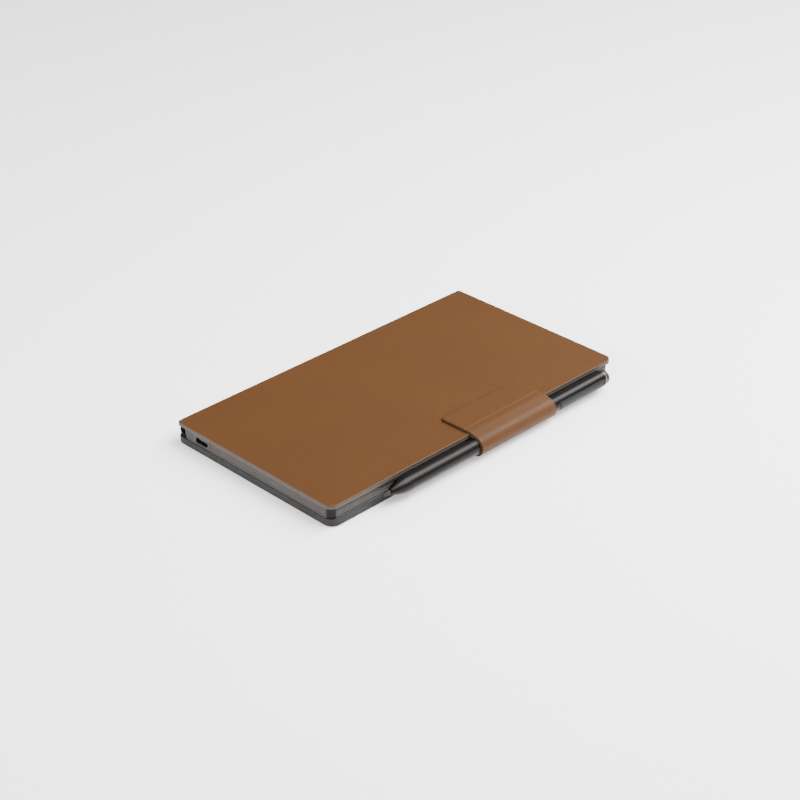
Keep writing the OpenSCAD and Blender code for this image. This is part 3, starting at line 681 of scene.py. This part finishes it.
def cover_leather(mats):
    """The cover's leather with its upper fold and the upper half of the spine."""
    x0, x1, y1 = cover_low.x, cover_high.x, cover_high.y
    tab_x = FOLD_X - FOLD_LENGTH - WALL / 2
    slit = SPINE_HALF + 0.15
    start = math.degrees(math.asin((slit - (y1 - SPINE_R)) / SPINE_R))
    left = x0 + SPINE_R
    outline = arc(x1 - COVER_R, -y1 + COVER_R, COVER_R, -90, 0)
    outline += arc(x1 - COVER_R, y1 - COVER_R, COVER_R, 0, 90)
    outline += arc(left, y1 - SPINE_R, SPINE_R, 90, 180 - start)
    outline += [(FOLD_X, slit), (FOLD_X, SPINE_HALF), (tab_x, SPINE_HALF)]
    outline += [(tab_x, -SPINE_HALF), (FOLD_X, -SPINE_HALF), (FOLD_X, -slit)]
    outline += arc(left, -y1 + SPINE_R, SPINE_R, 180 + start, 270)
    grid_x = spaced(tab_x + 0.5, FOLD_X - FOLD_LENGTH, 0.8)[:-1]
    grid_x += spaced(FOLD_X - FOLD_LENGTH - 0.2, FOLD_X + 0.4, 0.14)
    grid_x += spaced(FOLD_X + 1.5, x1 - 1.5, 4.5)
    grid_y = spaced(-SPINE_HALF + 1, SPINE_HALF - 1, 4.5)
    rim = rim_down(cover_high.z, cover_low.z)
    obj = slab("cover_leather", outline, rim, grid_x, grid_y, bend_over_spine, tab_x)
    paint(obj, mats["tan_leather"], mats["leather_edge"], mats["leather_back"])
    darken_ends(obj, mats)
    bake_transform(obj)
    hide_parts("front_cover_leather", "spine_leather")


def spine_leather(mats):
    """The lower half of the spine, its fold, and the margin glued under the back shell."""
    length = WALL / 2 + FOLD_LENGTH + anchor_high.x - FOLD_X
    start = FOLD_LENGTH + WALL / 2

    def shape(x, y, z):
        px, pz = follow(LEATHER_PATH, start + x, z)
        return (px, y, pz)

    outline = [(0, -SPINE_HALF), (length, -SPINE_HALF), (length, SPINE_HALF), (0, SPINE_HALF)]
    grid_x = spaced(0.5, WALL / 2 - 0.4, 0.8) + spaced(WALL / 2, WALL / 2 + FOLD_LENGTH, 0.14)
    grid_x += spaced(WALL / 2 + FOLD_LENGTH + 1, length - 1, 2.5)
    obj = slab("spine_leather_lower", outline, rim_down(LEATHER, 0, 0.9), grid_x,
               spaced(-SPINE_HALF + 1, SPINE_HALF - 1, 4.5), shape, 0)
    paint(obj, mats["tan_leather"], mats["leather_edge"], mats["leather_back"])
    darken_ends(obj, mats)
    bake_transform(obj)
    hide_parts("spine_anchor")


# ---- Strap -------------------------------------------------------------------------------------------------

# Bend over the cover's edge
KNEE_R = 9.0
# Height of the raised panel over the strap's steel plate, its span from the free end, and its side margins
RELIEF = 0.2
RELIEF_X = (0.9, 15.5)
RELIEF_INSET = 1.0


def strap_route():
    """The strap's inner face from the tongue's free end, over the cover's edge and round the stylus."""
    knee_x = cover_high.x - 0.35
    top = pad_high.z
    dx, dz = knee_x - PEN_X, top - PEN_Z
    span = math.hypot(dx, dz)
    tangent = math.atan2(dz, dx) - math.acos(LOOP_R / span)
    slope = 90 - math.degrees(tangent)
    eased = KNEE_R * math.tan(math.radians(slope / 2))
    reach = math.sqrt(span * span - LOOP_R * LOOP_R)
    parts = [
        ("line", knee_x - eased - tongue_low.x),
        ("arc", KNEE_R, slope),
        ("line", reach - eased),
        ("arc", LOOP_R, 180 - slope),
        ("line", PEN_X - strap_low.x),
    ]
    return ((tongue_low.x, top), 0, -1, STRAP_T / 2, parts)


def route_length(route):
    mid = route[3]
    return sum(p[1] if p[0] == "line" else (p[1] + mid) * math.radians(p[2]) for p in route[4])


def strap(mats):
    route = strap_route()
    total = route_length(route)
    y0, y1 = tongue_low.y, tongue_high.y

    def relief(s, y):
        edge = min(s - RELIEF_X[0], RELIEF_X[1] - s, y - y0 - RELIEF_INSET, y1 - RELIEF_INSET - y)
        return RELIEF * smooth(edge / 0.7 + 0.5)

    def shape(s, y, h):
        if h > STRAP_T * 0.9:
            h += relief(s, y)
        px, pz = follow(route, s, h)
        return (px, y, pz)

    outline = rounded_box(0, y0, total, y1, [0, 0, 3, 3])
    grid_s = spaced(0.5, 17, 0.35) + spaced(17.4, total - 1, 0.5)
    grid_y = spaced(y0 + 0.5, y0 + 3, 0.35) + spaced(y0 + 4, y1 - 4, 2) + spaced(y1 - 3, y1 - 0.5, 0.35)
    obj = slab("strap", outline, rim_down(STRAP_T, 0, 0.75), grid_s, grid_y, shape)
    # The strap's sides take the near-black painted shade
    paint(obj, mats["tan_leather"], mats["strap_edge_shade"], mats["leather_back"])
    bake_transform(obj)
    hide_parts("strap_tongue", "strap_lower")


# ---- Stylus ------------------------------------------------------------------------------------------------

# Length of the pointed end, and its radius at the nib
TAPER = 12.0
COLLAR_R = 1.5
# The side panel's middle and half width in degrees, its seat's depth and its height over the barrel
PANEL_MID, PANEL_HALF = -20.0, 50.0
PANEL_SINK, PANEL_PROUD = 0.35, 0.15
ROUND = [i * 3.0 for i in range(120)]


def with_panel_edges(angles):
    """The angles round the axis, with steep steps added at the side panel's two long edges."""
    extra = []
    for edge in (PANEL_MID - PANEL_HALF, PANEL_MID + PANEL_HALF):
        extra += [(edge - 0.6) % 360, edge % 360, (edge + 0.6) % 360]
    return sorted(set(angles + extra))


def barrel(mats):
    y0, y1 = barrel_low.y, barrel_high.y
    p0, p1 = panel_low.y - 0.1, panel_high.y + 0.1

    def radius(y, angle):
        s = (y - y0) / TAPER
        r = PEN_R if s >= 1 else COLLAR_R + (PEN_R - COLLAR_R) * math.sin(math.pi / 2 * max(0, s)) ** 0.9
        away = abs((angle - PANEL_MID + 180) % 360 - 180)
        if p0 - 1e-6 <= y <= p1 + 1e-6 and away <= PANEL_HALF + 0.01:
            r -= PANEL_SINK
        r -= 0.12 * smooth((y - y1 + 0.15) / 0.15)
        return r

    stations = [y0 + TAPER * (i / 36) ** 1.3 for i in range(37)]
    stations += spaced(y0 + TAPER + 2, p0 - 1.0, 3)
    stations += [p0 - 0.04, p0] + spaced(p0 + 2, p1 - 2, 3) + [p1, p1 + 0.04, y1 - 0.15, y1]
    obj = lathe("stylus_barrel", stations, radius, with_panel_edges(ROUND))
    paint(obj, mats["pen_metal"])
    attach(obj, "stylus")
    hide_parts("pen_barrel")


def side_panel(mats):
    """The long inlay, a thin plate bent round the barrel."""
    inner = PEN_R - PANEL_SINK
    half = math.radians(PANEL_HALF - 1.2) * PEN_R

    def shape(s, y, h):
        a = math.radians(PANEL_MID) + s / PEN_R
        r = inner + h
        return (PEN_X + r * math.cos(a), y, PEN_Z + r * math.sin(a))

    outline = rounded_box(-half, panel_low.y, half, panel_high.y, 0.5, 5)
    top = PANEL_SINK + PANEL_PROUD
    obj = slab("stylus_side_panel", outline, [(0.22, top), (0.1, top - 0.03), (0.02, top - 0.12), (0, 0.02)],
               spaced(-half + 0.4, half - 0.4, 0.3), spaced(panel_low.y + 1, panel_high.y - 1, 2), shape,
               margin=0.15)
    # The pattern is seen from outside the barrel, which turns its faces over
    obj.data.flip_normals()
    paint(obj, mats["pen_panel"], mats["pen_panel"], mats["pen_panel"])
    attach(obj, "stylus")
    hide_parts("pen_side_panel")


def turned(name, outline, mat, body, node):
    """A plain turned piece from (y, radius) points."""
    table = dict(outline)
    obj = lathe(name, [y for y, r in outline], lambda y, angle: table[y], ROUND)
    paint(obj, mat)
    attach(obj, body)
    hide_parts(node)


def stylus_ends(mats):
    tip = nib_low.y
    base = barrel_low.y - 0.45
    nose = [(tip + 0.3 * (1 - math.cos(math.radians(a))), 0.02 + 0.4 * math.sin(math.radians(a)))
            for a in (0, 20, 40, 60, 80)]
    cone = [(tip + 0.3 + (base - tip - 0.3) * t, 0.44 + 0.96 * t ** 0.95)
            for t in (0.1, 0.3, 0.5, 0.7, 0.9, 1.0)]
    shaft = [(base + 0.02, 0.95), (nib_high.y, 0.95)]
    turned("stylus_nib", nose + cone + shaft, mats["nib_polymer"], "nib", "pen_nib")
    y0, y1 = ring_low.y, ring_high.y
    ring = [(y0 + 0.001, PEN_R - 0.02), (y0 + 0.12, PEN_R + 0.02), (y0 + 0.3, PEN_R - 0.04),
            (y1 - 0.15, 3.92), (y1, 3.8)]
    turned("stylus_end_ring", ring, mats["pen_ring"], "stylus", "pen_end_ring")
    y0, y1 = y1 + 0.42, cap_high.y
    dome, r = 1.3, 3.75
    start = y1 - dome
    cap = [(cap_low.y, 1.45), (y0, 1.45), (y0 + 0.01, r - 0.15), (y0 + 0.12, r)]
    cap += [(start + dome * math.sin(math.radians(a)), r - dome + dome * math.cos(math.radians(a)))
            for a in range(0, 91, 10)]
    turned("stylus_end_cap", cap, mats["cap_rubber"], "end_cap", "pen_end_cap")


# ---- Whole scene -------------------------------------------------------------------------------------------

# Width of the eased edges on CAD nodes that show
BEVELS = {"back_shell": 0.12, "front_cover_lining": 0.1, "front_cover_board": 0.03, "cover_glass": 0.12,
          "power_button": 0.1, "usb_c_connector": 0.05, "usb_c_tongue": 0.08, "strap_lining": 0.05}


def dress_nodes(mats):
    """Gives every CAD node its finish, and an eased edge where one shows."""
    for row in frame["record"]["subparts"]:
        # The spine board takes the same near-black painted shade all over, in place of its own board finish
        finish = "spine_end_shade" if row["node"] == "spine_board" else row["material_slot"]
        paint(frame["nodes"][row["node"]], mats[finish])
    for node, width in BEVELS.items():
        bevel = frame["nodes"][node].modifiers.new("eased_edges", "BEVEL")
        bevel.width = width * MM
        bevel.segments = 3
        bevel.limit_method = "ANGLE"
        bevel.angle_limit = math.radians(50)
        bevel.harden_normals = True


def main():
    camera()
    lights()
    floor()
    mats = make_materials()
    dress_nodes(mats)
    cover_leather(mats)
    spine_leather(mats)
    strap(mats)
    barrel(mats)
    side_panel(mats)
    stylus_ends(mats)


main()
